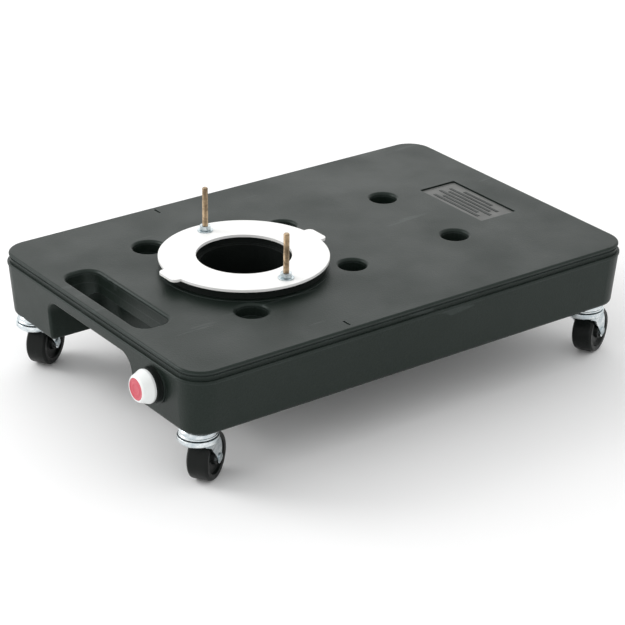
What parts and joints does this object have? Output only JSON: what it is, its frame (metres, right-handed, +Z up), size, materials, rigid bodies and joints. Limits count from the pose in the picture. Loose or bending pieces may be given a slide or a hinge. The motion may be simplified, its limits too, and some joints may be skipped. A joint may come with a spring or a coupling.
{
  "type": "toilet base dolly",
  "caption": "Low hollow plastic tank on swivel casters, with a hand slot at one end, a bolted closet flange on the deck and a screw-capped drain, for rolling a portable toilet about.",
  "frame": {"origin": "on the floor, under the middle of the overall box", "axes": "+Z up, +X from the hand slot end towards the blank plate end, +Y to the left seen from the hand slot end"},
  "size_m": [0.6003, 0.3769, 0.2015],
  "materials": {
    "tank_plastic": "fine moulded grain, satin black",
    "neck_plastic": "smooth satin black",
    "label": "fine grey plate, blank",
    "seal_rubber": "matt",
    "flange_white": "smooth white, soft gloss",
    "cap_white": "smooth white, soft gloss",
    "cap_red": "smooth red",
    "bolt_brass": "dull brass",
    "fastener_steel": "bright zinc",
    "caster_steel": "bright plated",
    "wheel_black": "hard satin black"
  },
  "bodies": {
    "tank": {"deck_shell": "tank_plastic", "deck_skirt": "tank_plastic", "tank_pan": "tank_plastic", "kiss_off_wells": "tank_plastic", "slot_throat": "tank_plastic", "label_plate": "label", "caster_inserts": "fastener_steel", "flange_neck": "neck_plastic", "neck_seal": "seal_rubber", "neck_lock_ring": "neck_plastic", "flange_gasket": "seal_rubber", "closet_flange": "flange_white", "closet_bolts": "bolt_brass", "closet_washers": "fastener_steel", "closet_nuts": "fastener_steel", "drain_neck": "neck_plastic", "drain_seal": "seal_rubber", "drain_lock_nut": "neck_plastic", "handle_left_stem": "fastener_steel", "handle_left_upper_race": "caster_steel", "handle_right_stem": "fastener_steel", "handle_right_upper_race": "caster_steel", "far_left_stem": "fastener_steel", "far_left_upper_race": "caster_steel", "far_right_stem": "fastener_steel", "far_right_upper_race": "caster_steel"},
    "handle_left_swivel": {"handle_left_fork": "caster_steel", "handle_left_balls": "fastener_steel", "handle_left_axle_bolt": "fastener_steel", "handle_left_axle_nut": "fastener_steel", "handle_left_axle_sleeve": "fastener_steel"},
    "handle_left_roller": {"handle_left_wheel": "wheel_black"},
    "handle_right_swivel": {"handle_right_fork": "caster_steel", "handle_right_balls": "fastener_steel", "handle_right_axle_bolt": "fastener_steel", "handle_right_axle_nut": "fastener_steel", "handle_right_axle_sleeve": "fastener_steel"},
    "handle_right_roller": {"handle_right_wheel": "wheel_black"},
    "far_left_swivel": {"far_left_fork": "caster_steel", "far_left_balls": "fastener_steel", "far_left_axle_bolt": "fastener_steel", "far_left_axle_nut": "fastener_steel", "far_left_axle_sleeve": "fastener_steel"},
    "far_left_roller": {"far_left_wheel": "wheel_black"},
    "far_right_swivel": {"far_right_fork": "caster_steel", "far_right_balls": "fastener_steel", "far_right_axle_bolt": "fastener_steel", "far_right_axle_nut": "fastener_steel", "far_right_axle_sleeve": "fastener_steel"},
    "far_right_roller": {"far_right_wheel": "wheel_black"},
    "cap_seal": {"cap_gasket": "seal_rubber"},
    "cap": {"drain_cap": "cap_white", "cap_disc": "cap_red"}
  },
  "joints": [
    {"name": "handle_left_swivel_turn", "type": "hinge", "parent": "tank", "child": "handle_left_swivel", "pos_m": [-0.254, 0.1565, 0.06], "axis": [0, 0, 1], "continuous": true},
    {"name": "handle_left_wheel_spin", "type": "hinge", "parent": "handle_left_swivel", "child": "handle_left_roller", "pos_m": [-0.23704, 0.1671, 0.0254], "axis": [-0.5299, 0.848, 0], "continuous": true},
    {"name": "handle_right_swivel_turn", "type": "hinge", "parent": "tank", "child": "handle_right_swivel", "pos_m": [-0.254, -0.1565, 0.06], "axis": [0, 0, 1], "continuous": true},
    {"name": "handle_right_wheel_spin", "type": "hinge", "parent": "handle_right_swivel", "child": "handle_right_roller", "pos_m": [-0.23723, -0.14561, 0.0254], "axis": [-0.5446, 0.8387, 0], "continuous": true},
    {"name": "far_left_swivel_turn", "type": "hinge", "parent": "tank", "child": "far_left_swivel", "pos_m": [0.2545, 0.1565, 0.06], "axis": [0, 0, 1], "continuous": true},
    {"name": "far_left_wheel_spin", "type": "hinge", "parent": "far_left_swivel", "child": "far_left_roller", "pos_m": [0.27232, 0.16558, 0.0254], "axis": [-0.454, 0.891, 0], "continuous": true},
    {"name": "far_right_swivel_turn", "type": "hinge", "parent": "tank", "child": "far_right_swivel", "pos_m": [0.2545, -0.1565, 0.06], "axis": [0, 0, 1], "continuous": true},
    {"name": "far_right_wheel_spin", "type": "hinge", "parent": "far_right_swivel", "child": "far_right_roller", "pos_m": [0.27277, -0.14837, 0.0254], "axis": [-0.4067, 0.9135, 0], "continuous": true},
    {"name": "cap_travel", "type": "slide", "parent": "tank", "child": "cap_seal", "axis": [-1, 0, 0], "range_m": [0, 0.012]},
    {"name": "cap_turn", "type": "hinge", "parent": "cap_seal", "child": "cap", "pos_m": [-0.294, -0.1175, 0.104], "axis": [-1, 0, 0], "range_deg": [0, 1440]}
  ],
  "couplings": [
    {"joint": "cap_travel", "follows": "cap_turn", "m_per_rad": 0.00047746}
  ]
}
